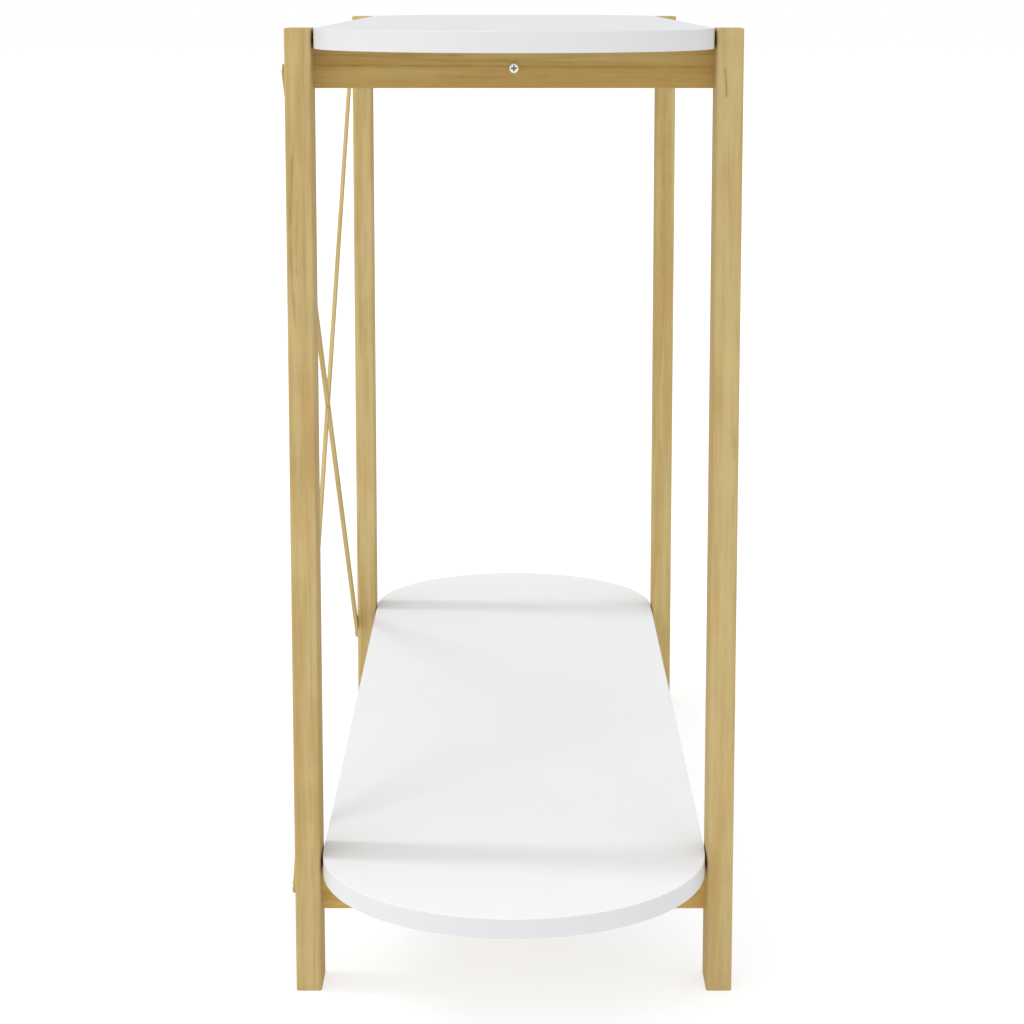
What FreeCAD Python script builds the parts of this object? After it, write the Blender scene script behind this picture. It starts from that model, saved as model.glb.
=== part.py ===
import FreeCAD, Part
import math
import os
import Sketcher

# Console table: two white boards with half-round ends, held between four pine legs, with a cross
# brace at the back. +X runs along the table, +Y towards its back and +Z up. The origin is on the
# floor, in the middle of the four legs. Left is -X and right is +X, as seen from the front.

# Driving dimensions in millimetres: alias, value and meaning.
DIMENSIONS = [
    ("board_length", 1100, "tabletop and shelf, end to end"),
    ("board_width", 300, "tabletop and shelf, front to back"),
    ("board_thickness", 15, "tabletop and shelf"),
    ("edging_thickness", 1, "plastic edging round each board"),
    ("edging_radius", 0.4, "rounding of the edging's outer rims"),
    ("table_height", 750, "floor to the top of the tabletop and of the legs"),
    ("shelf_height", 109, "floor to the top of the shelf"),
    ("leg_width", 20, "leg, front to back"),
    ("leg_depth", 40, "leg, along the table"),
    ("leg_radius", 2, "rounding of a leg's long edges"),
    ("leg_end_radius", 0.5, "softening round a leg's two ends"),
    ("leg_gap", 302, "clear width between a front leg and a back leg"),
    ("frame_length", 837, "over the outer faces of the legs"),
    ("rail_thickness", 20, "end rail, along the table"),
    ("rail_radius", 1, "rounding of a rail's and a stretcher's long edges"),
    ("top_rail_height", 30, "rails and stretcher under the tabletop"),
    ("lower_rail_height", 34, "rails and stretcher under the shelf"),
    ("stretcher_width", 20, "stretcher, front to back"),
    ("slat_width", 12, "brace slat"),
    ("slat_thickness", 3, "brace slat"),
    ("slat_tail", 4, "brace slat past the middle of its end screw"),
    ("slat_radius", 5, "rounding of a brace slat's corners"),
    ("slat_top_height", 718, "upper end screws of the brace"),
    ("slat_low_height", 78, "lower end screws of the brace"),
    ("dowel_diameter", 8, "dowel between rail and leg"),
    ("dowel_length", 30, "dowel between rail and leg"),
    ("dowel_in_leg", 12, "part of a dowel that is in its leg"),
    ("dowel_spacing", 15, "between the two dowels of one joint"),
    ("dowel_bevel", 1, "bevel of a dowel's ends"),
    ("hole_spare_depth", 0.5, "hole past the end of its dowel or screw"),
    ("hole_spare_width", 0.5, "hole over its screw, in the piece under the head"),
    ("joint_screw_diameter", 4, "screw from an end rail into a stretcher"),
    ("joint_screw_length", 45, "the same, under its head"),
    ("board_screw_diameter", 3.5, "screw from below into a board"),
    ("board_screw_length", 30, "the same, under its head"),
    ("board_screw_bite", 11, "part of a board screw that is in its board"),
    ("rail_screw_offset", 75, "board screws in an end rail, from the middle"),
    ("stretcher_screw_offset", 190, "board screws in a stretcher, from the middle"),
    ("brace_screw_diameter", 3.5, "screw through a slat into a back leg"),
    ("brace_screw_length", 16, "the same, under its head"),
    ("screw_tip_length", 4, "point of every screw"),
    ("screw_tip_diameter", 0.6, "blunt end of a screw's point"),
    ("head_diameter", 7.6, "pan head of every screw"),
    ("head_height", 1.8, "pan head of every screw"),
    ("head_radius", 1.2, "rounding of a pan head's rim"),
    ("recess_span", 4.4, "cross recess in a head, tip to tip"),
    ("recess_width", 1.3, "cross recess in a head, each slot"),
    ("recess_depth", 1.3, "cross recess in a head"),
    ("counterbore_diameter", 9, "recess for a board screw's head"),
]

SIDES = {"left": -1, "right": 1}
FACES = {"front": -1, "back": 1}
TOOL_ROOM = 1  # how far a cutting tool starts outside the wood

X_AXIS = FreeCAD.Vector(1, 0, 0)
Y_AXIS = FreeCAD.Vector(0, 1, 0)
Z_AXIS = FreeCAD.Vector(0, 0, 1)

doc = FreeCAD.newDocument("console_table")
sheet = doc.addObject("Spreadsheet::Sheet", "dimensions")
for row, (alias, value, meaning) in enumerate(DIMENSIONS, start=1):
    sheet.set(f"A{row}", meaning)
    sheet.set(f"B{row}", str(value))
    sheet.setAlias(f"B{row}", alias)
doc.recompute()

nodes = []


def size(alias):
    """The value of one driving dimension."""
    return float(getattr(sheet, alias))


def formula(text):
    """An expression in which each driving dimension's alias reads its cell."""
    aliases = {alias for alias, value, meaning in DIMENSIONS}
    words = [f"dimensions.{word}" if word in aliases else word for word in text.split()]
    return " ".join(words)


def bind(feature, **expressions):
    """Bind properties of a feature to formulas of the driving dimensions."""
    for name, text in expressions.items():
        feature.setExpression(name, formula(text))


def place(feature, position, rotation=FreeCAD.Rotation()):
    feature.Placement = FreeCAD.Placement(FreeCAD.Vector(*position), rotation)


def new_node(kind, name):
    """A sub-part, whose label is the name of its file."""
    node = doc.addObject(kind, name)
    node.Label = name
    nodes.append(node)
    return node


# Places that several sub-parts share

def leg_place(side, face):
    """The middle of a leg's bottom."""
    x = side * (size("frame_length") - size("leg_depth")) / 2
    y = face * (size("leg_gap") + size("leg_width")) / 2
    return (x, y, 0)


def rail_x(side):
    """The middle of an end rail, which is flush with the legs' inner faces."""
    return side * (size("frame_length") / 2 - size("leg_depth") + size("rail_thickness") / 2)


def board_underside(level):
    height = {"top": "table_height", "lower": "shelf_height"}[level]
    return size(height) - size("board_thickness")


def rail_z(level):
    """The middle of the rails and the stretcher under a board."""
    return board_underside(level) - size(f"{level}_rail_height") / 2


def dowel_heights(level):
    half = size("dowel_spacing") / 2
    return (rail_z(level) - half, rail_z(level) + half)


def counterbore_depth(level):
    """How far a board screw's head sits inside a rail or stretcher."""
    wood_under_head = size("board_screw_length") - size("board_screw_bite")
    return size(f"{level}_rail_height") - wood_under_head


def board_screw_places():
    """The board screws of one level, as (x, y)."""
    in_rails = [(rail_x(side), face * size("rail_screw_offset"))
                for side in SIDES.values() for face in FACES.values()]
    in_stretcher = [(side * size("stretcher_screw_offset"), 0) for side in SIDES.values()]
    return in_rails + in_stretcher


# Features of a body

def new_sketch(body, name, plane):
    """An empty sketch on one of the body's own origin planes."""
    sketch = body.newObject("Sketcher::SketchObject", name)
    support = next(item for item in body.Origin.OriginFeatures if item.Role == plane)
    sketch.AttachmentSupport = (support, "")
    sketch.MapMode = "FlatFace"
    return sketch


def constrain(sketch, kind, *arguments):
    return sketch.addConstraint(Sketcher.Constraint(kind, *arguments))


def constrain_to(sketch, text, kind, *arguments):
    """A dimension of a sketch, bound to a formula."""
    index = constrain(sketch, kind, *arguments)
    sketch.setExpression(f"Constraints[{index}]", formula(text))


def draw_rectangle(sketch, across, along):
    """A rectangle about the sketch's origin, bound to two formulas."""
    half = 9  # any size will do, because the two formulas set the real one
    turns = ((-half, -half), (half, -half), (half, half), (-half, half))
    corners = [FreeCAD.Vector(x, y, 0) for x, y in turns]
    for start in range(4):
        sketch.addGeometry(Part.LineSegment(corners[start], corners[(start + 1) % 4]))
    for line in range(4):
        constrain(sketch, "Coincident", line, 2, (line + 1) % 4, 1)
        constrain(sketch, "Horizontal" if line % 2 == 0 else "Vertical", line)
    constrain(sketch, "Symmetric", 0, 1, 1, 2, -1, 1)
    constrain_to(sketch, across, "Distance", 0, 2 * half)
    constrain_to(sketch, along, "Distance", 1, 2 * half)


def draw_stadium(sketch, length, width):
    """A rectangle with half-round ends about the sketch's origin, bound to two formulas."""
    first = sketch.GeometryCount
    radius = size("board_width") / 2
    reach = size("board_length") / 2 - radius
    for side in SIDES.values():
        circle = Part.Circle(FreeCAD.Vector(side * reach, 0, 0), Z_AXIS, radius)
        start = -side * math.pi / 2
        sketch.addGeometry(Part.ArcOfCircle(circle, start, start + math.pi))
    for edge in (1, -1):
        ends = [FreeCAD.Vector(x, edge * radius, 0) for x in (edge * reach, -edge * reach)]
        sketch.addGeometry(Part.LineSegment(*ends))
    left_end, right_end, back_edge, front_edge = range(first, first + 4)
    constrain(sketch, "Tangent", right_end, 2, back_edge, 1)
    constrain(sketch, "Tangent", back_edge, 2, left_end, 1)
    constrain(sketch, "Tangent", left_end, 2, front_edge, 1)
    constrain(sketch, "Tangent", front_edge, 2, right_end, 1)
    constrain(sketch, "Equal", left_end, right_end)
    constrain(sketch, "Symmetric", left_end, 3, right_end, 3, -1, 1)
    constrain(sketch, "PointOnObject", right_end, 3, -1)
    constrain_to(sketch, f"( {width} ) / 2", "Radius", right_end, radius)
    straight = f"( {length} ) - ( {width} )"
    constrain_to(sketch, straight, "Distance", left_end, 3, right_end, 3, 2 * reach)


def add_pad(body, sketch, thickness, midplane=False):
    doc.recompute()
    pad = body.newObject("PartDesign::Pad", "pad")
    pad.Profile = sketch
    pad.SideType = "Symmetric" if midplane else "One side"
    bind(pad, Length=thickness)
    doc.recompute()
    return pad


def add_fillet(body, base, radius, chosen):
    """Round the edges of the base whose middle and direction are chosen."""
    names = []
    for number, edge in enumerate(base.Shape.Edges, start=1):
        middle = edge.valueAt((edge.FirstParameter + edge.LastParameter) / 2)
        if chosen(edge, middle):
            names.append(f"Edge{number}")
    fillet = body.newObject("PartDesign::Fillet", "rounding")
    fillet.Base = (base, names)
    bind(fillet, Radius=radius)
    doc.recompute()
    return fillet


def drill(body, diameter, depth, mouth, inward):
    """Cut a round hole that starts at its mouth and runs inward, and check that it cuts."""
    before = body.Shape.Volume
    hole = body.newObject("PartDesign::SubtractiveCylinder", "hole")
    bind(hole, Radius=f"( {diameter} ) / 2", Height=f"{depth} + {TOOL_ROOM}")
    start = FreeCAD.Vector(*mouth) - inward * TOOL_ROOM
    place(hole, start, FreeCAD.Rotation(Z_AXIS, inward))
    doc.recompute()
    if body.Shape.Volume >= before:
        raise RuntimeError(f"a hole in {body.Label} cuts nothing")


def new_bar(name, across, deep, tall, radius, axis):
    """A squared bar from z = 0 upwards, with its edges along an axis rounded."""
    body = new_node("PartDesign::Body", name)
    sketch = new_sketch(body, "section", "XY_Plane")
    draw_rectangle(sketch, across, deep)
    pad = add_pad(body, sketch, tall)
    add_fillet(body, pad, radius, runs_along(axis))
    return body


def runs_along(axis):
    """A test for straight edges along an axis."""
    def test(edge, middle):
        return abs(edge.tangentAt(edge.FirstParameter).dot(axis)) > 0.99
    return test


# Frame

def make_leg(side_name, face_name):
    """A leg, drawn with its inner face towards -Y. A front leg is turned to face the back."""
    side, face = SIDES[side_name], FACES[face_name]
    name = f"leg_{face_name}_{side_name}"
    leg = new_bar(name, "leg_depth", "leg_width", "table_height", "leg_radius", Z_AXIS)

    def round_an_end(edge, middle):
        return min(middle.z, size("table_height") - middle.z) < size("leg_end_radius")

    add_fillet(leg, leg.Tip, "leg_end_radius", round_an_end)
    half_width = size("leg_width") / 2
    rail_offset = rail_x(side) - leg_place(side, face)[0]
    for level in ("top", "lower"):
        for height in dowel_heights(level):
            mouth = (face * rail_offset, -half_width, height)
            drill(leg, "dowel_diameter", "dowel_in_leg + hole_spare_depth", mouth, Y_AXIS)
    if face_name == "back":
        for height in (size("slat_top_height"), size("slat_low_height")):
            depth = "brace_screw_length - slat_thickness + hole_spare_depth"
            drill(leg, "brace_screw_diameter", depth, (0, half_width, height), -Y_AXIS)
    turn = 0 if face_name == "back" else 180
    place(leg, leg_place(side, face), FreeCAD.Rotation(Z_AXIS, turn))


def make_rail(level, side_name):
    """An end rail, with dowel holes in its ends and screw holes through its middle and upwards."""
    side = SIDES[side_name]
    height = f"{level}_rail_height"
    rail = new_bar(f"{level}_rail_{side_name}", "rail_thickness", "leg_gap", height,
                   "rail_radius", Y_AXIS)
    middle = size(height) / 2
    for face in FACES.values():
        for offset in (-size("dowel_spacing") / 2, size("dowel_spacing") / 2):
            mouth = (0, face * size("leg_gap") / 2, middle + offset)
            depth = "dowel_length - dowel_in_leg + hole_spare_depth"
            drill(rail, "dowel_diameter", depth, mouth, -Y_AXIS * face)
        screw_y = face * size("rail_screw_offset")
        drill_for_board_screw(rail, level, (0, screw_y))
    mouth = (-size("rail_thickness") / 2, 0, middle)
    through = f"rail_thickness + {TOOL_ROOM}"
    drill(rail, "joint_screw_diameter + hole_spare_width", through, mouth, X_AXIS)
    place(rail, (rail_x(side), 0, rail_z(level) - middle))


def drill_for_board_screw(body, level, position):
    """A clearance hole upwards, with a recess that takes the screw's head."""
    height = f"{level}_rail_height"
    mouth = (position[0], position[1], 0)
    drill(body, "counterbore_diameter", f"{height} - board_screw_length + board_screw_bite", mouth, Z_AXIS)
    drill(body, "board_screw_diameter + hole_spare_width", f"{height} + {TOOL_ROOM}", mouth, Z_AXIS)


def make_stretcher(level):
    """The long bar under a board, with a screw hole in each end and two upwards."""
    height = f"{level}_rail_height"
    stretcher = new_bar(f"{level}_stretcher", "frame_length - 2 * leg_depth", "stretcher_width", height,
                        "rail_radius", X_AXIS)
    half_length = size("frame_length") / 2 - size("leg_depth")
    middle = size(height) / 2
    for side in SIDES.values():
        depth = "joint_screw_length - rail_thickness + hole_spare_depth"
        drill(stretcher, "joint_screw_diameter", depth, (side * half_length, 0, middle), -X_AXIS * side)
        drill_for_board_screw(stretcher, level, (side * size("stretcher_screw_offset"), 0))
    place(stretcher, (0, 0, rail_z(level) - middle))


# Boards

CORE_LENGTH = "board_length - 2 * edging_thickness"
CORE_WIDTH = "board_width - 2 * edging_thickness"


def make_board(name, level):
    """A laminated board with half-round ends, with blind screw holes from below."""
    board = new_node("PartDesign::Body", name)
    outline = new_sketch(board, "outline", "XY_Plane")
    draw_stadium(outline, CORE_LENGTH, CORE_WIDTH)
    add_pad(board, outline, "board_thickness")
    for x, y in board_screw_places():
        drill(board, "board_screw_diameter", "board_screw_bite + hole_spare_depth", (x, y, 0), Z_AXIS)
    place(board, (0, 0, board_underside(level)))


def make_edging(name, level):
    """The plastic band round a board, with its outer rims softened."""
    edging = new_node("PartDesign::Body", name)
    section = new_sketch(edging, "section", "XY_Plane")
    draw_stadium(section, "board_length", "board_width")
    draw_stadium(section, CORE_LENGTH, CORE_WIDTH)
    pad = add_pad(edging, section, "board_thickness")

    def on_outer_rim(edge, middle):
        half_width = size("board_width") / 2
        half_straight = size("board_length") / 2 - half_width
        past_straight = max(abs(middle.x) - half_straight, 0)
        on_outside = math.hypot(past_straight, middle.y) > half_width - size("edging_thickness") / 2
        return on_outside and not runs_along(Z_AXIS)(edge, middle)

    add_fillet(edging, pad, "edging_radius", on_outer_rim)
    place(edging, (0, 0, board_underside(level)))


# Brace

def brace_tilt():
    """The slats' angle above the horizontal, in degrees."""
    run = size("frame_length") - size("leg_depth")
    return math.degrees(math.atan2(size("slat_top_height") - size("slat_low_height"), run))


def make_slat(name, rise):
    """A brace slat, which rises to the right where rise is 1. The two are halved where they cross."""
    slat = new_node("PartDesign::Body", name)
    run = size("frame_length") - size("leg_depth")
    screw_reach = math.hypot(run, size("slat_top_height") - size("slat_low_height")) / 2
    outline = new_sketch(slat, "outline", "XZ_Plane")
    run_squared = "pow( frame_length - leg_depth ; 2 )"
    rise_squared = "pow( slat_top_height - slat_low_height ; 2 )"
    span = f"sqrt( {run_squared} + {rise_squared} )"
    draw_rectangle(outline, f"{span} + 2 * slat_tail", "slat_width")
    pad = add_pad(slat, outline, "slat_thickness", midplane=True)
    add_fillet(slat, pad, "slat_radius", runs_along(Y_AXIS))
    for side in SIDES.values():
        mouth = (side * screw_reach, size("slat_thickness") / 2, 0)
        hole_depth = f"slat_thickness + {TOOL_ROOM}"
        drill(slat, "brace_screw_diameter + hole_spare_width", hole_depth, mouth, -Y_AXIS)
    cut_halving(slat, rise)
    back_of_legs = size("leg_gap") / 2 + size("leg_width")
    middle_height = (size("slat_top_height") + size("slat_low_height")) / 2
    position = (0, back_of_legs + size("slat_thickness") / 2, middle_height)
    place(slat, position, FreeCAD.Rotation(Y_AXIS, -rise * brace_tilt()))


def cut_halving(slat, rise):
    """Cut away half a slat's thickness where the other slat crosses it."""
    before = slat.Shape.Volume
    tool = slat.newObject("PartDesign::SubtractiveBox", "halving")
    bind(tool, Length="4 * slat_width", Width="slat_thickness", Height="slat_width")
    turn = FreeCAD.Rotation(Y_AXIS, 2 * rise * brace_tilt())
    y = 0 if rise > 0 else -size("slat_thickness")
    corner = turn.multVec(FreeCAD.Vector(-2 * size("slat_width"), 0, -size("slat_width") / 2))
    place(tool, (corner.x, y, corner.z), turn)
    doc.recompute()
    if slat.Shape.Volume >= before:
        raise RuntimeError("a halving cuts nothing")


# Dowels and screws

def make_dowel_pattern():
    """The one dowel that the table's dowels copy, lying along +Z from its end."""
    stick = doc.addObject("Part::Cylinder", "dowel_stick")
    bind(stick, Radius="dowel_diameter / 2", Height="dowel_length")
    doc.recompute()
    dowel = doc.addObject("Part::Chamfer", "dowel")
    dowel.Base = stick
    rims = [number for number, edge in enumerate(stick.Shape.Edges, start=1)
            if isinstance(edge.Curve, Part.Circle)]
    dowel.Edges = [(number, size("dowel_bevel"), size("dowel_bevel")) for number in rims]
    return dowel


def make_screw_pattern(kind):
    """A pan-head screw with a cross recess. Its head is above z = 0 and its shank below."""
    shank = doc.addObject("Part::Cylinder", f"{kind}_shank")
    bind(shank, Radius=f"{kind}_diameter / 2", Height=f"{kind}_length - screw_tip_length")
    place(shank, (0, 0, size("screw_tip_length") - size(f"{kind}_length")))
    tip = doc.addObject("Part::Cone", f"{kind}_tip")
    bind(tip, Radius1="screw_tip_diameter / 2", Radius2=f"{kind}_diameter / 2", Height="screw_tip_length")
    place(tip, (0, 0, -size(f"{kind}_length")))
    blank = doc.addObject("Part::Cylinder", f"{kind}_head_blank")
    bind(blank, Radius="head_diameter / 2", Height="head_height")
    doc.recompute()
    head = doc.addObject("Part::Fillet", f"{kind}_head")
    head.Base = blank
    rim = next(number for number, edge in enumerate(blank.Shape.Edges, start=1)
               if isinstance(edge.Curve, Part.Circle) and edge.Curve.Center.z > 0)
    head.Edges = [(rim, size("head_radius"), size("head_radius"))]
    solid = doc.addObject("Part::MultiFuse", f"{kind}_solid")
    solid.Shapes = [shank, tip, head]
    recess_bottom = size("head_height") - size("recess_depth")
    corner = FreeCAD.Vector(-size("recess_span") / 2, -size("recess_width") / 2, recess_bottom)
    slots = []
    for turn in (0, 90):
        slot = doc.addObject("Part::Box", f"{kind}_slot_{turn}")
        bind(slot, Length="recess_span", Width="recess_width", Height=f"recess_depth + {TOOL_ROOM}")
        rotation = FreeCAD.Rotation(Z_AXIS, turn)
        place(slot, rotation.multVec(corner), rotation)
        slots.append(slot)
    recess = doc.addObject("Part::MultiFuse", f"{kind}_recess")
    recess.Shapes = slots
    screw = doc.addObject("Part::Cut", kind)
    screw.Base = solid
    screw.Tool = recess
    return screw


def make_group(name, pattern, places):
    """One sub-part of separate copies of a pattern, each at a point with its +Z along a direction."""
    copies = []
    for number, (position, direction) in enumerate(places, start=1):
        copy = doc.addObject("App::Link", f"{name}_{number}")
        copy.LinkedObject = pattern
        place(copy, position, FreeCAD.Rotation(Z_AXIS, direction))
        copies.append(copy)
    group = new_node("Part::Compound", name)
    group.Links = copies


def make_dowels():
    start = size("leg_gap") / 2 + size("dowel_in_leg")
    places = [((rail_x(side), face * start, height), -Y_AXIS * face)
              for level in ("top", "lower") for side in SIDES.values()
              for face in FACES.values() for height in dowel_heights(level)]
    make_group("rail_dowels", make_dowel_pattern(), places)


def make_joint_screws():
    rail_face = size("frame_length") / 2 - size("leg_depth") + size("rail_thickness")
    places = [((side * rail_face, 0, rail_z(level)), X_AXIS * side)
              for level in ("top", "lower") for side in SIDES.values()]
    make_group("stretcher_screws", make_screw_pattern("joint_screw"), places)


def make_board_screws():
    places = []
    for level in ("top", "lower"):
        seat = board_underside(level) - size(f"{level}_rail_height") + counterbore_depth(level)
        places += [((x, y, seat), -Z_AXIS) for x, y in board_screw_places()]
    make_group("board_screws", make_screw_pattern("board_screw"), places)


def make_brace_screws():
    back_of_slats = size("leg_gap") / 2 + size("leg_width") + size("slat_thickness")
    places = [((leg_place(side, 1)[0], back_of_slats, size(height)), Y_AXIS)
              for side in SIDES.values() for height in ("slat_top_height", "slat_low_height")]
    make_group("brace_screws", make_screw_pattern("brace_screw"), places)


def check_document():
    """Stop if any object failed, or a sub-part is empty or not valid."""
    for item in doc.Objects:
        if "Invalid" in item.State or "Error" in item.State:
            raise RuntimeError(f"{item.Label} failed: {item.State}")
    for node in nodes:
        if node.Shape.isNull() or not node.Shape.isValid() or not node.Shape.Solids:
            raise RuntimeError(f"{node.Label} has no valid solid")


def export_nodes():
    os.makedirs("parts", exist_ok=True)
    for node in nodes:
        node.Shape.exportStep(os.path.join("parts", f"{node.Label}.step"))
        box = node.Shape.BoundBox
        print(f"{node.Label:22} {len(node.Shape.Solids):3} solids {node.Shape.Volume / 1000:9.2f} cm3"
              f"  x {box.XMin:8.2f} {box.XMax:8.2f}  y {box.YMin:8.2f} {box.YMax:8.2f}"
              f"  z {box.ZMin:7.2f} {box.ZMax:7.2f}")


for face_name in FACES:
    for side_name in SIDES:
        make_leg(side_name, face_name)
for level in ("top", "lower"):
    for side_name in SIDES:
        make_rail(level, side_name)
    make_stretcher(level)
make_board("tabletop", "top")
make_edging("tabletop_edging", "top")
make_board("shelf", "lower")
make_edging("shelf_edging", "lower")
make_slat("brace_slat_rising", 1)
make_slat("brace_slat_falling", -1)
make_dowels()
make_joint_screws()
make_board_screws()
make_brace_screws()

doc.recompute()
check_document()
export_nodes()
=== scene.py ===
"""Console table: materials, light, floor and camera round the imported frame, in metres unless said."""

import math
from collections import namedtuple

import bpy
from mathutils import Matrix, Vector


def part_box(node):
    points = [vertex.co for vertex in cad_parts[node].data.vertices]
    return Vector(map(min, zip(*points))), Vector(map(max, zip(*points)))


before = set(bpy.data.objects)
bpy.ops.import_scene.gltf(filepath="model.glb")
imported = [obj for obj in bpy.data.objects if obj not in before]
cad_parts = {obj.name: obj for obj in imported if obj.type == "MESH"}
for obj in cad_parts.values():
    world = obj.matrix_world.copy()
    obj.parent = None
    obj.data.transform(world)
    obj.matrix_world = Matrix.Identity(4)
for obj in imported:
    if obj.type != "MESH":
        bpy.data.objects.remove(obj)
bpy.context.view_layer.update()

X_AXIS = Vector((1, 0, 0))
Y_AXIS = Vector((0, 1, 0))
Z_AXIS = Vector((0, 0, 1))
ALL_AXES = (X_AXIS, Y_AXIS, Z_AXIS)
ORIGIN = (0, 0, 0)
TO_MM = 1000.0


# ---------------------------------------------------------------- node trees

SEED_STEP = 3.7  # keeps the three parts of a noise coordinate apart

# sizes are in mm along the three axes that a material uses, such as along the grain, across it and deeper.
Noise = namedtuple("Noise", "sizes seed detail roughness", defaults=(2, 0.5))
# A slow sway along one part, in mm. Its size is about reach / 4 either way.
Wave = namedtuple("Wave", "period reach seed detail", defaults=(1,))


class Shader:
    """Builds one material's node tree. An input is a number, a tuple or another node's output."""

    def __init__(self, name):
        self.material = bpy.data.materials.new(name)
        self.material.use_nodes = True
        self.tree = self.material.node_tree
        self.tree.nodes.clear()

    def add(self, kind, inputs=None, **settings):
        node = self.tree.nodes.new("ShaderNode" + kind)
        for key, value in settings.items():
            setattr(node, key, value)
        for key, value in (inputs or {}).items():
            if isinstance(value, bpy.types.NodeSocket):
                self.tree.links.new(value, node.inputs[key])
            else:
                node.inputs[key].default_value = value
        return node

    def math(self, operation, *values):
        return self.add("Math", dict(enumerate(values)), operation=operation).outputs[0]

    def times(self, *values):
        """The product of two or more values."""
        product = values[0]
        for value in values[1:]:
            product = self.math("MULTIPLY", product, value)
        return product

    def scaled(self, value, factor, offset):
        """The value times a factor, plus an offset."""
        return self.math("MULTIPLY_ADD", value, factor, offset)

    def vector_math(self, operation, first, second):
        node = self.add("VectorMath", {0: first, 1: second}, operation=operation)
        single = operation in ("DOT_PRODUCT", "DISTANCE")
        return node.outputs["Value" if single else "Vector"]

    def noise(self, parts, noise, seed=0):
        """A noise of the parts, which are in mm, moved on by its own seed and the piece's."""
        x, y, z = [
            self.scaled(part, 1 / size, seed + noise.seed + SEED_STEP * index)
            for index, (part, size) in enumerate(zip(parts, noise.sizes))
        ]
        place = self.add("CombineXYZ", {"X": x, "Y": y, "Z": z}).outputs["Vector"]
        inputs = {"Vector": place, "Scale": 1.0, "Detail": noise.detail, "Roughness": noise.roughness}
        return self.add("TexNoise", inputs).outputs[0]

    def wave(self, part, wave, seed):
        place = self.scaled(part, 1 / wave.period, seed + wave.seed)
        inputs = {"W": place, "Scale": 1.0, "Detail": wave.detail}
        made = self.add("TexNoise", inputs, noise_dimensions="1D").outputs[0]
        return self.scaled(made, wave.reach, -wave.reach / 2)

    def step(self, value, low, high, bottom=0.0, top=1.0):
        """Smoothly from bottom to top as the value goes from low to high."""
        inputs = {"Value": value, "From Min": low, "From Max": high, "To Min": bottom, "To Max": top}
        return self.add("MapRange", inputs, interpolation_type="SMOOTHSTEP").outputs["Result"]

    def ramp(self, value, stops):
        """A smooth grey ramp through (place, level) stops."""
        node = self.add("ValToRGB", {"Fac": value})
        node.color_ramp.interpolation = "EASE"
        elements = node.color_ramp.elements
        while len(elements) < len(stops):
            elements.new(0.5)
        for element, (place, level) in zip(elements, stops):
            element.position = place
            element.color = (level, level, level, 1)
        return node.outputs["Color"]

    def mix(self, factor, first, second):
        return self.add("Mix", {0: factor, 6: first, 7: second}, data_type="RGBA").outputs[2]

    def tint(self, color, level, stain=(1, 1, 1)):
        """The colour times a level and a fixed colour."""
        node = self.add("VectorMath", {0: color, "Scale": level}, operation="SCALE")
        return self.vector_math("MULTIPLY", node.outputs["Vector"], stain)

    def point(self):
        return self.add("TexCoord").outputs["Object"]

    def facing(self, axis):
        """How much the surface faces along an axis, from -1 to 1."""
        return self.vector_math("DOT_PRODUCT", self.add("TexCoord").outputs["Normal"], axis)

    def object_parts(self, centre=ORIGIN, axes=ALL_AXES):
        """The object coordinates from a centre, in mm, along each of three axes."""
        offset = self.vector_math("SUBTRACT", self.point(), centre)
        return [self.vector_math("DOT_PRODUCT", offset, axis * TO_MM) for axis in axes]

    def finish(self, color, roughness, height, bump, **uniform):
        """The shader itself. bump is a depth and a strength. Uniform values go on the shader's own sockets."""
        depth, strength = bump
        relief = self.add("Bump", {"Height": height, "Distance": depth, "Strength": strength})
        inputs = {"Base Color": color, "Roughness": roughness, "Normal": relief.outputs["Normal"]}
        shader = self.add("BsdfPrincipled", inputs)
        for key, value in uniform.items():
            shader.inputs[key.replace("_", " ")].default_value = value
        self.add("OutputMaterial", {"Surface": shader.outputs["BSDF"]})
        return self.material


# ---------------------------------------------------------------------- pine

PINE_PALE = (0.606, 0.478, 0.222, 1)
PINE_TAN = (0.560, 0.398, 0.164, 1)
PINE_LATE = (0.345, 0.178, 0.054, 1)
LATE_SHARE = 0.34  # how much of the late wood's colour a ring takes
CANAL_EDGE = (0.76, 0.82)  # the noise levels over which a resin canal shows
CANAL_SHARE = 0.22
FIBRE_SHADE = 0.14  # how far the fibres, the clouds and the end grain change the shade
CLOUD_SHADE = 0.20
END_SHADE = 0.20
END_FACES = (0.80, 0.97)  # from side grain to end grain, by how squarely a face looks along the grain
STREAK_SHARE = 0.35  # of the streaks beside the broad bands, in where the warmer colour lies
PINE_ROUGHNESS = 0.56
PINE_BUMP = (0.00018, 0.5)
PINE_GLOSS = 0.02  # specular level

PINE_NOISES = {
    "uneven": Noise((95, 12, 12), 0),
    "patchy": Noise((60, 14, 14), 17),
    "fibres": Noise((14, 0.8, 0.8), 0, 3, 0.6),
    "streaks": Noise((60, 2.6, 2.6), 3),
    "broad": Noise((130, 9, 13), 5),
    "cloud": Noise((32, 16, 16), 9),
    "canals": Noise((7, 0.42, 0.42), 13, 0),
}
HEART_SWAYS = (Wave(230, 9, 0), Wave(280, 9, 40))  # to the side, and deeper
RING_WIDTH = 3.6  # mm
RING_BEND = 2.6  # mm
RING_SPREAD = Wave(13, 2.6, 90)  # its reach is in rings
RING_LEAST = 0.26  # strength of the faintest ring, and how much stronger one may be
RING_EXTRA = 0.60
RING_LUCK = 4  # a power, which leaves few strong rings
SEASON = [(0, 0), (0.40, 0.16), (0.84, 1), (0.97, 0.15), (1, 0)]  # late wood over one ring
PATCHES = (0.34, 0.66, 0.25, 1)  # noise from, noise to, share of the rings' strength from, share to

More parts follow.
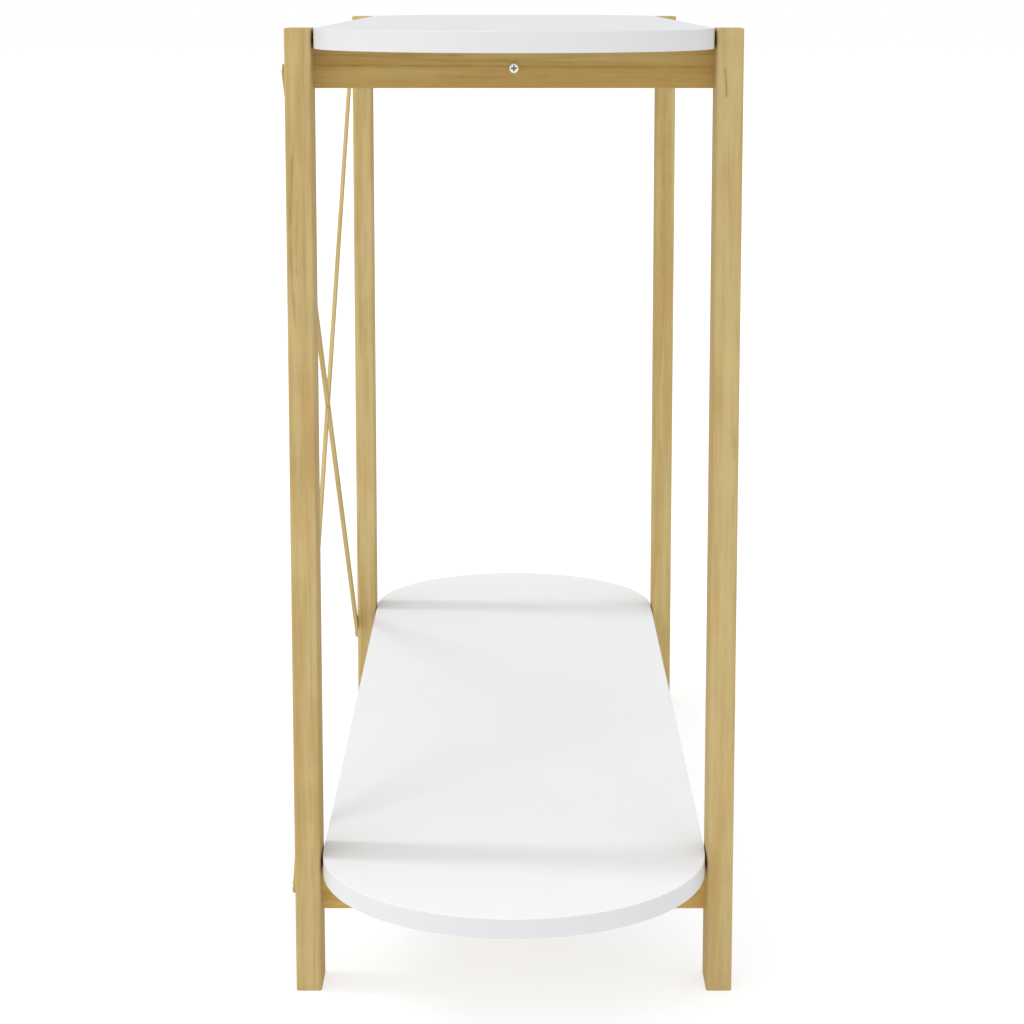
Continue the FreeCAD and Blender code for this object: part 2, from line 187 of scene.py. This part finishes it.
LINE_CORE = (0.12, 0.72)  # mm from a growth line, over which its core fades
LINE_HALO = (0.2, 3.0)
LINE_HALO_LEVEL = 0.32
LINE_SWAY = Wave(34, 0.9, 31, 2)
LINE_UNEVEN = Wave(26, 0.9, 57)  # its reach is a change in strength
LINE_FADE = 0.18  # share of a line's length, at each end

# A growth line runs from start to end along the grain, in mm from the piece's middle. At its ends it lies
# side_start and side_end mm to the side, and it bows out by bow mm between.
Line = namedtuple("Line", "start end side_start side_end bow strength")
# pith is the heart's place across the grain, to the side and deeper, in mm from the piece's middle. Next comes
# a colour scale: the piece's own tone, on the rails and far legs with painted light or shade in it. tan is the
# warmer colour's share.
Pine = namedtuple("Pine", "axes pith stain tan seed lines")


def growth_line(shader, along, side, line):
    """How dark a single growth line is at each place."""
    length = line.end - line.start
    run = shader.scaled(along, 1 / length, -line.start / length)
    rest = shader.math("SUBTRACT", 1.0, run)
    arch = shader.times(run, rest, 4 * line.bow)
    course = shader.math("ADD", shader.scaled(run, line.side_end - line.side_start, line.side_start), arch)
    course = shader.math("ADD", course, shader.wave(along, LINE_SWAY, line.side_start))
    miss = shader.math("ABSOLUTE", shader.math("SUBTRACT", side, course))
    core = shader.step(miss, *LINE_CORE, 1, 0)
    halo = shader.step(miss, *LINE_HALO, LINE_HALO_LEVEL, 0)
    ends = shader.times(shader.step(run, 0, LINE_FADE), shader.step(rest, 0, LINE_FADE))
    level = shader.math("ADD", shader.wave(along, LINE_UNEVEN, line.side_end), line.strength)
    return shader.times(shader.math("MAXIMUM", core, halo), shader.times(ends, level))


def late_wood(shader, parts, piece, noises):
    """The dark part of each growth ring, round a heart that wanders, with its own strength ring by ring."""
    along, side, deep = parts
    offsets = []
    for part, pith, wave in zip((side, deep), piece.pith, HEART_SWAYS):
        sway = shader.wave(along, wave, piece.seed)
        offsets.append(shader.math("ADD", shader.math("SUBTRACT", part, pith), sway))
    squares = shader.scaled(offsets[0], offsets[0], shader.times(offsets[1], offsets[1]))
    radius = shader.scaled(noises["uneven"], RING_BEND, shader.math("SQRT", squares))
    rings = shader.scaled(radius, 1 / RING_WIDTH, shader.wave(radius, RING_SPREAD, piece.seed))
    number = shader.math("ADD", shader.math("FLOOR", rings), piece.seed)
    luck = shader.add("TexWhiteNoise", {"W": number}, noise_dimensions="1D").outputs["Value"]
    strength = shader.scaled(shader.math("POWER", luck, RING_LUCK), RING_EXTRA, RING_LEAST)
    season = shader.ramp(shader.math("FRACT", rings), SEASON)
    return shader.times(season, strength, shader.step(noises["patchy"], *PATCHES))


def pine(node, piece):
    """Lacquered pine with growth rings, fibres, resin canals and darker ends."""
    shader = Shader("pine_" + node)
    low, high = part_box(node)
    parts = shader.object_parts((low + high) / 2, piece.axes)
    noises = {name: shader.noise(parts, noise, piece.seed) for name, noise in PINE_NOISES.items()}
    fibres = noises["fibres"]
    late = late_wood(shader, parts, piece, noises)

    warmth = shader.scaled(noises["streaks"], STREAK_SHARE, noises["broad"])
    warm = shader.step(warmth, 0.66 - 0.22 * piece.tan, 1.02 - 0.30 * piece.tan)
    color = shader.mix(warm, PINE_PALE, PINE_TAN)
    color = shader.mix(shader.times(late, LATE_SHARE), color, PINE_LATE)
    for line in piece.lines:
        color = shader.mix(growth_line(shader, *parts[:2], Line(*line)), color, PINE_LATE)
    color = shader.mix(shader.step(noises["canals"], *CANAL_EDGE, 0, CANAL_SHARE), color, PINE_LATE)

    end_grain = shader.step(shader.math("ABSOLUTE", shader.facing(piece.axes[0])), *END_FACES)
    shade = shader.times(
        shader.scaled(fibres, FIBRE_SHADE, 1 - FIBRE_SHADE / 2),
        shader.scaled(noises["cloud"], CLOUD_SHADE, 1 - CLOUD_SHADE / 2),
        shader.scaled(end_grain, -END_SHADE, 1.0),
    )
    roughness = shader.scaled(end_grain, 0.15, shader.scaled(fibres, 0.14, PINE_ROUGHNESS))
    height = shader.scaled(late, 0.5, fibres)
    tinted = shader.tint(color, shade, piece.stain)
    return shader.finish(tinted, roughness, height, PINE_BUMP, Specular_IOR_Level=PINE_GLOSS)


# ----------------------------------------------------------- other materials

# mottle is how far its shade varies, and pebbles are the pressed grain.
Skin = namedtuple("Skin", "roughness mottle pebbles bump")
BOARD_SKIN = Skin(0.42, 0.020, Noise((0.55,) * 3, 11, 2, 0.55), (0.00004, 0.5))
EDGING_SKIN = Skin(0.36, 0.016, Noise((0.90,) * 3, 11, 2, 0.55), (0.00003, 0.5))
SKIN_CLOUDS = Noise((60, 60, 60), 2, 3)
SKIN_SPECKS = Noise((3.1, 3.1, 3.1), 31)
SKIN_IOR = 1.49
FACES_UP = (0.55, 0.90)  # from not at all to fully

ZINC_BRIGHT = (0.92, 0.90, 0.84, 1)
ZINC_DULL = (0.80, 0.80, 0.78, 1)
ZINC_SPANGLE = Noise((1.7, 1.7, 1.7), 4, 3, 0.6)
ZINC_SCRATCHES = Noise((2.4, 0.22, 0.22), 8, 3, 0.65)
ZINC_BUMP = (0.00004, 0.6)
# Painted shade: a dull grey in each head's cross recess, where shade falls.
RECESS_SHADE_GREY = (0.30, 0.31, 0.33, 1)
RECESS_TOP = (0.05, 0.40)  # mm below a head's top, over which its recess begins
RECESS_BOTTOM = (1.5, 1.7)  # mm, over which it ends
RECESS_REACH = (0.0022, 0.0024)  # from the screw's middle line
SCREW_REACH = 0.012  # a vertex further than this from a screw's first one belongs to another screw

BEECH_LIGHT = (0.560, 0.385, 0.225, 1)
BEECH_DARK = (0.440, 0.285, 0.150, 1)
BEECH_FLECK = (0.230, 0.120, 0.055, 1)
BEECH_FIBRES = Noise((9, 0.5, 0.5), 3, 3, 0.6)
BEECH_FLECKS = Noise((3.5, 0.45, 0.45), 21, 0)
BEECH_BUMP = (0.0002, 0.5)


def laminate(name, color, top_color, skin):
    """White satin board skin: an even colour, or another where it faces up, with a faint mottle and a fine
    pressed texture. On the edging the two colours differ only as painted shade."""
    shader = Shader(name)
    parts = shader.object_parts()
    clouds = shader.noise(parts, SKIN_CLOUDS)
    pebbles = shader.noise(parts, skin.pebbles)
    specks = shader.noise(parts, SKIN_SPECKS)
    shade = shader.times(
        shader.scaled(clouds, skin.mottle, 1 - skin.mottle / 2),
        shader.scaled(specks, skin.mottle / 2, 1 - skin.mottle / 4),
    )
    facing_up = shader.step(shader.facing(Z_AXIS), *FACES_UP)
    # on the edging, the sides' and the up-facing colour differ as painted shade
    shaded = shader.tint(shader.mix(facing_up, color, top_color), shade)
    roughness = shader.scaled(pebbles, 0.08, shader.scaled(clouds, 0.10, skin.roughness - 0.05))
    return shader.finish(shaded, roughness, pebbles, skin.bump, IOR=SKIN_IOR)


def middle_of(points):
    """The middle of the box round some points."""
    low = Vector([min(point[i] for point in points) for i in range(3)])
    high = Vector([max(point[i] for point in points) for i in range(3)])
    return (low + high) / 2


def screw_middles(node, axis):
    """Where the middle line of each of a node's screws is, across the axis, from the solids' own vertices."""
    groups = []
    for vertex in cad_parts[node].data.vertices:
        point = vertex.co - axis * vertex.co.dot(axis)
        near = [group for group in groups if (group[0] - point).length < SCREW_REACH]
        if near:
            near[0].append(point)
        else:
            groups.append([point])
    return [middle_of(group) for group in groups]


def zinc_steel(node, axis, tops):
    """Bright zinc plate, slightly cloudy, with painted shade, a dull grey, in every head's cross recess. tops
    are the heads' flat tops along the axis in mm, each after the sign of the way it faces."""
    shader = Shader("zinc_" + node)
    parts = shader.object_parts()
    spangle = shader.noise(parts, ZINC_SPANGLE)
    scratches = shader.noise(parts, ZINC_SCRATCHES)

    point = shader.point()
    across = shader.vector_math("MULTIPLY", point, Vector((1, 1, 1)) - axis)
    nearest = 1.0
    for middle in screw_middles(node, axis):
        nearest = shader.math("MINIMUM", nearest, shader.vector_math("DISTANCE", across, middle))
    along = shader.vector_math("DOT_PRODUCT", point, axis * TO_MM)
    sunk = 0.0
    for way, top in tops:
        depth = shader.scaled(along, -way, way * top)
        inside = shader.times(shader.step(depth, *RECESS_TOP), shader.step(depth, *RECESS_BOTTOM, 1, 0))
        sunk = shader.math("MAXIMUM", sunk, inside)
    recess = shader.times(sunk, shader.step(nearest, *RECESS_REACH, 1, 0))

    # the cross recess is painted grey as painted shade
    color = shader.mix(recess, shader.mix(spangle, ZINC_BRIGHT, ZINC_DULL), RECESS_SHADE_GREY)
    roughness = shader.scaled(recess, 0.3, shader.scaled(spangle, 0.20, 0.28))
    height = shader.scaled(spangle, 0.4, scratches)
    return shader.finish(color, roughness, height, ZINC_BUMP, Metallic=1.0)


def beech(name):
    """Dowel wood: pinkish tan with short dark flecks along the Y grain."""
    shader = Shader(name)
    parts = shader.object_parts(axes=(Y_AXIS, Z_AXIS, X_AXIS))
    fibres = shader.noise(parts, BEECH_FIBRES)
    flecks = shader.noise(parts, BEECH_FLECKS)
    color = shader.mix(fibres, BEECH_LIGHT, BEECH_DARK)
    color = shader.mix(shader.step(flecks, 0.66, 0.74, 0, 0.6), color, BEECH_FLECK)
    return shader.finish(color, shader.scaled(fibres, 0.15, 0.52), fibres, BEECH_BUMP)


# ------------------------------------------------------ each piece's material


def paint(node, material):
    """Gives a CAD node one material in every slot it has."""
    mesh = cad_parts[node].data
    if not mesh.materials:
        mesh.materials.append(material)
    for index in range(len(mesh.materials)):
        mesh.materials[index] = material


def slat_axes(node, rise):
    """Grain, wide side and thickness of a sloping slat. rise is 1 if it climbs towards +X, or -1."""
    low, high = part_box(node)
    grain = Vector((high.x - low.x, 0, rise * (high.z - low.z))).normalized()
    return grain, Vector((-grain.z, 0, grain.x)), Y_AXIS


# Grain, wide side and depth of the straight pieces
UPRIGHT = (Z_AXIS, Y_AXIS, X_AXIS)
ACROSS = (Y_AXIS, Z_AXIS, X_AXIS)
LENGTHWISE = (X_AXIS, Z_AXIS, Y_AXIS)
RISING = slat_axes("brace_slat_rising", 1)
FALLING = slat_axes("brace_slat_falling", -1)

LEG_STAIN = (0.847, 0.831, 0.832)
# The far legs' pine is painted lighter than the near legs', as painted light.
FAR_BACK_LEG_PAINTED_LIGHT = (0.940, 0.940, 0.950)
FAR_FRONT_LEG_PAINTED_LIGHT = (0.893, 0.897, 0.870)
# The top rails' pine is painted darker and warmer than the legs': painted shade under the tabletop's overhang,
# partly their own darker tone.
RAIL_TONE_AND_PAINTED_SHADE = (0.815, 0.752, 0.600)
# The lower rails' pine is painted lighter than the legs', as painted light, in a warmer tone of its own.
LOWER_RAIL_PAINTED_LIGHT = (1.07, 0.98, 0.78)
STRETCHER_STAIN = (0.93, 0.88, 0.78)
SLAT_STAIN = (0.930, 0.915, 0.880)

BACK_LEG_LINES = [
    (135, 305, 2.0, 2.2, 4.6, 0.54),
    (185, 250, 2.8, 1.6, 0.3, 0.44),
    (-330, -120, -5.5, -4.0, 1.5, 0.16),
]
FRONT_LEG_LINES = [
    (322, 348, 2.3, 4.6, -0.3, 0.84),
    (342, 410, 4.6, 5.6, 0.2, 0.36),
    (-60, 90, -4.0, -6.0, -1.6, 0.14),
]
TOP_RAIL_LINES = [
    (-190, 190, 0.6, 2.9, -0.5, 0.62),
    (10, 170, 8.5, 9.5, 1.2, 0.30),
    (-150, 60, -9.0, -7.0, 1.5, 0.16),
    (-110, 100, 3.5, 5.5, 0.6, 0.34),
]
PINE_PIECES = {
    "leg_back_left": Pine(UPRIGHT, (46, 30), LEG_STAIN, 0.62, 3.1, BACK_LEG_LINES),
    "leg_front_left": Pine(UPRIGHT, (-52, 38), LEG_STAIN, 0.50, 17.7, FRONT_LEG_LINES),
    "leg_back_right": Pine(
        UPRIGHT, (-44, -36), FAR_BACK_LEG_PAINTED_LIGHT, 0.55, 29.3, [(-40, 210, -3.0, -5.0, 2.5, 0.18)]
    ),
    "leg_front_right": Pine(
        UPRIGHT, (38, -48), FAR_FRONT_LEG_PAINTED_LIGHT, 0.80, 41.9, [(60, 360, 1.0, -3.5, 3.5, 0.26)]
    ),
    "top_rail_left": Pine(ACROSS, (58, 35), RAIL_TONE_AND_PAINTED_SHADE, 0.75, 53.2, TOP_RAIL_LINES),
    "top_rail_right": Pine(ACROSS, (-50, 44), RAIL_TONE_AND_PAINTED_SHADE, 0.70, 61.8, [(-170, 120, -3.0, -5.0, 2.0, 0.35)]),
    "lower_rail_left": Pine(
        ACROSS, (47, -40), LOWER_RAIL_PAINTED_LIGHT, 0.75, 74.4, [(-170, 150, 5.0, 3.0, 2.0, 0.30)]
    ),
    "lower_rail_right": Pine(
        ACROSS, (-61, 33), LOWER_RAIL_PAINTED_LIGHT, 0.60, 83.6, [(-120, 160, -6.0, -3.0, 1.0, 0.25)]
    ),
    "top_stretcher": Pine(
        LENGTHWISE, (49, 41), STRETCHER_STAIN, 0.60, 97.5, [(-330, 160, -5.0, 2.0, 4.0, 0.35)]
    ),
    "lower_stretcher": Pine(
        LENGTHWISE, (-45, 52), STRETCHER_STAIN, 0.55, 103.3, [(-150, 320, 6.0, -2.0, -3.0, 0.30)]
    ),
    "brace_slat_rising": Pine(RISING, (40, 52), SLAT_STAIN, 0.45, 115.9, []),
    "brace_slat_falling": Pine(FALLING, (-43, 47), SLAT_STAIN, 0.60, 127.1, []),
}
for name, piece in PINE_PIECES.items():
    paint(name, pine(name, piece))

# One white laminate given three whites as painted shade: the tabletop and the edging are painted darker than
# the shelf.
TOP_WHITE_PAINTED_SHADE = (0.648, 0.655, 0.668, 1)
SHELF_WHITE = (0.766, 0.780, 0.800, 1)
EDGE_WHITE_PAINTED_SHADE = (0.662, 0.668, 0.682, 1)
for board, white in (("tabletop", TOP_WHITE_PAINTED_SHADE), ("shelf", SHELF_WHITE)):
    edging = board + "_edging"
    paint(board, laminate("white_" + board, white, white, BOARD_SKIN))
    paint(edging, laminate("white_" + edging, EDGE_WHITE_PAINTED_SHADE, white, EDGING_SKIN))

BOARD_SCREW_LENGTH = 31.8  # mm, with its head


def ends_mm(node):
    """A node's lowest and highest corners in mm."""
    low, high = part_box(node)
    return low * TO_MM, high * TO_MM


low, high = ends_mm("stretcher_screws")
paint("stretcher_screws", zinc_steel("stretcher_screws", X_AXIS, [(-1, low.x), (1, high.x)]))
low, high = ends_mm("brace_screws")
paint("brace_screws", zinc_steel("brace_screws", Y_AXIS, [(1, high.y)]))
low, high = ends_mm("board_screws")
heads = [(-1, low.z), (-1, high.z - BOARD_SCREW_LENGTH)]
paint("board_screws", zinc_steel("board_screws", Z_AXIS, heads))
paint("rail_dowels", beech("beech_dowel"))


# --------------------------------------------------------- floor, light, view

FLOOR_REACH = 30.0
FLOOR_GREYS = (0.37, 0.39)
FLOOR_GRAIN = 40  # per metre
FLOOR_GLOW = 0.65  # keeps the floor as pale as the background, with a faint shadow

# Soft studio surround: its brightness from a direction is the level plus each share of that direction's part.
SKY_LEVEL = 0.435
SKY_OVERHEAD = 1.12
# (axis, way, share): towards -X, where the camera stands, +X, +Y, where the key light is, and -Y
SKY_SIDES = ((0, -1, 0.45), (0, 1, -0.31), (1, 1, 0.10), (1, -1, -0.27))
SKY_LEAST = 0.02

KEY_TO_LIGHT = Vector((0.075, 1.0, 1.257)).normalized()
KEY_DISTANCE = 40.0
KEY_SIZE = (5.0, 15.0)  # a tall strip
KEY_LIT = 0.76  # W per square metre on a surface that faces the key light

CAMERA_PLACE = (-2.3045, 0, 0.7796)
CAMERA_PITCH = math.radians(8.59)  # down
CAMERA_SENSOR = 36  # mm
CAMERA_LENS = 88.6  # mm
CAMERA_SHIFT = (-0.0019, -0.14)
CAMERA_END = 200


def grey(level):
    return (level, level, level, 1)


def make_floor():
    mesh = bpy.data.meshes.new("floor")
    corners = [(x * FLOOR_REACH, y * FLOOR_REACH, 0) for x, y in ((-1, -1), (1, -1), (1, 1), (-1, 1))]
    mesh.from_pydata(corners, [], [(0, 1, 2, 3)])
    floor = bpy.data.objects.new("floor", mesh)
    bpy.context.scene.collection.objects.link(floor)
    shader = Shader("pale_floor")
    inputs = {"Vector": shader.point(), "Scale": FLOOR_GRAIN}
    grain = shader.add("TexNoise", inputs).outputs[0]
    color = shader.mix(grain, *map(grey, FLOOR_GREYS))
    glow = {"Emission Color": grey(1), "Emission Strength": FLOOR_GLOW}
    inputs = {"Base Color": color, "Roughness": 1.0, "Specular IOR Level": 0.0, **glow}
    surface = shader.add("BsdfPrincipled", inputs)
    shader.add("OutputMaterial", {"Surface": surface.outputs["BSDF"]})
    mesh.materials.append(shader.material)


def make_world():
    world = bpy.data.worlds.new("studio")
    bpy.context.scene.world = world
    world.use_nodes = True
    tree = world.node_tree
    tree.nodes.clear()

    def add(kind, *values, **settings):
        node = tree.nodes.new("ShaderNode" + kind)
        for key, value in settings.items():
            setattr(node, key, value)
        for socket, value in zip(node.inputs, values):
            if isinstance(value, bpy.types.NodeSocket):
                tree.links.new(value, socket)
            else:
                socket.default_value = value
        return node.outputs[0]

    direction = tree.nodes.new("ShaderNodeTexCoord").outputs["Generated"]
    split = tree.nodes.new("ShaderNodeSeparateXYZ")
    tree.links.new(direction, split.inputs[0])
    x, y, z = split.outputs
    level = add("Math", z, SKY_OVERHEAD, SKY_LEVEL, operation="MULTIPLY_ADD")
    for axis, way, share in SKY_SIDES:
        toward = add("Math", (x, y)[axis], way, operation="MULTIPLY")
        part = add("Math", toward, 0.0, operation="MAXIMUM")
        level = add("Math", part, share, level, operation="MULTIPLY_ADD")
    level = add("Math", level, SKY_LEAST, operation="MAXIMUM")
    soft = add("Background", grey(1), level)
    plain = add("Background", grey(1), 1.0)
    seen = tree.nodes.new("ShaderNodeLightPath").outputs["Is Camera Ray"]
    surface = add("MixShader", seen, soft, plain)
    tree.links.new(surface, tree.nodes.new("ShaderNodeOutputWorld").inputs["Surface"])


def make_key():
    key = bpy.data.lights.new("key", "AREA")
    key.shape = "RECTANGLE"
    key.size, key.size_y = KEY_SIZE
    key.energy = KEY_LIT * math.pi * KEY_DISTANCE**2
    lamp = bpy.data.objects.new("key", key)
    bpy.context.scene.collection.objects.link(lamp)
    lamp.location = KEY_TO_LIGHT * KEY_DISTANCE
    lamp.rotation_euler = KEY_TO_LIGHT.to_track_quat("Z", "Y").to_euler()


def make_camera():
    data = bpy.data.cameras.new("camera")
    data.lens = CAMERA_LENS
    data.sensor_width = CAMERA_SENSOR
    data.shift_x, data.shift_y = CAMERA_SHIFT
    data.clip_end = CAMERA_END
    camera = bpy.data.objects.new("camera", data)
    bpy.context.scene.collection.objects.link(camera)
    camera.location = CAMERA_PLACE
    looks = Vector((math.cos(CAMERA_PITCH), 0, -math.sin(CAMERA_PITCH)))
    camera.rotation_euler = looks.to_track_quat("-Z", "Y").to_euler()
    bpy.context.scene.camera = camera


make_floor()
make_world()
make_key()
make_camera()
bpy.context.scene.view_settings.view_transform = "Standard"
bpy.context.scene.view_settings.look = "None"
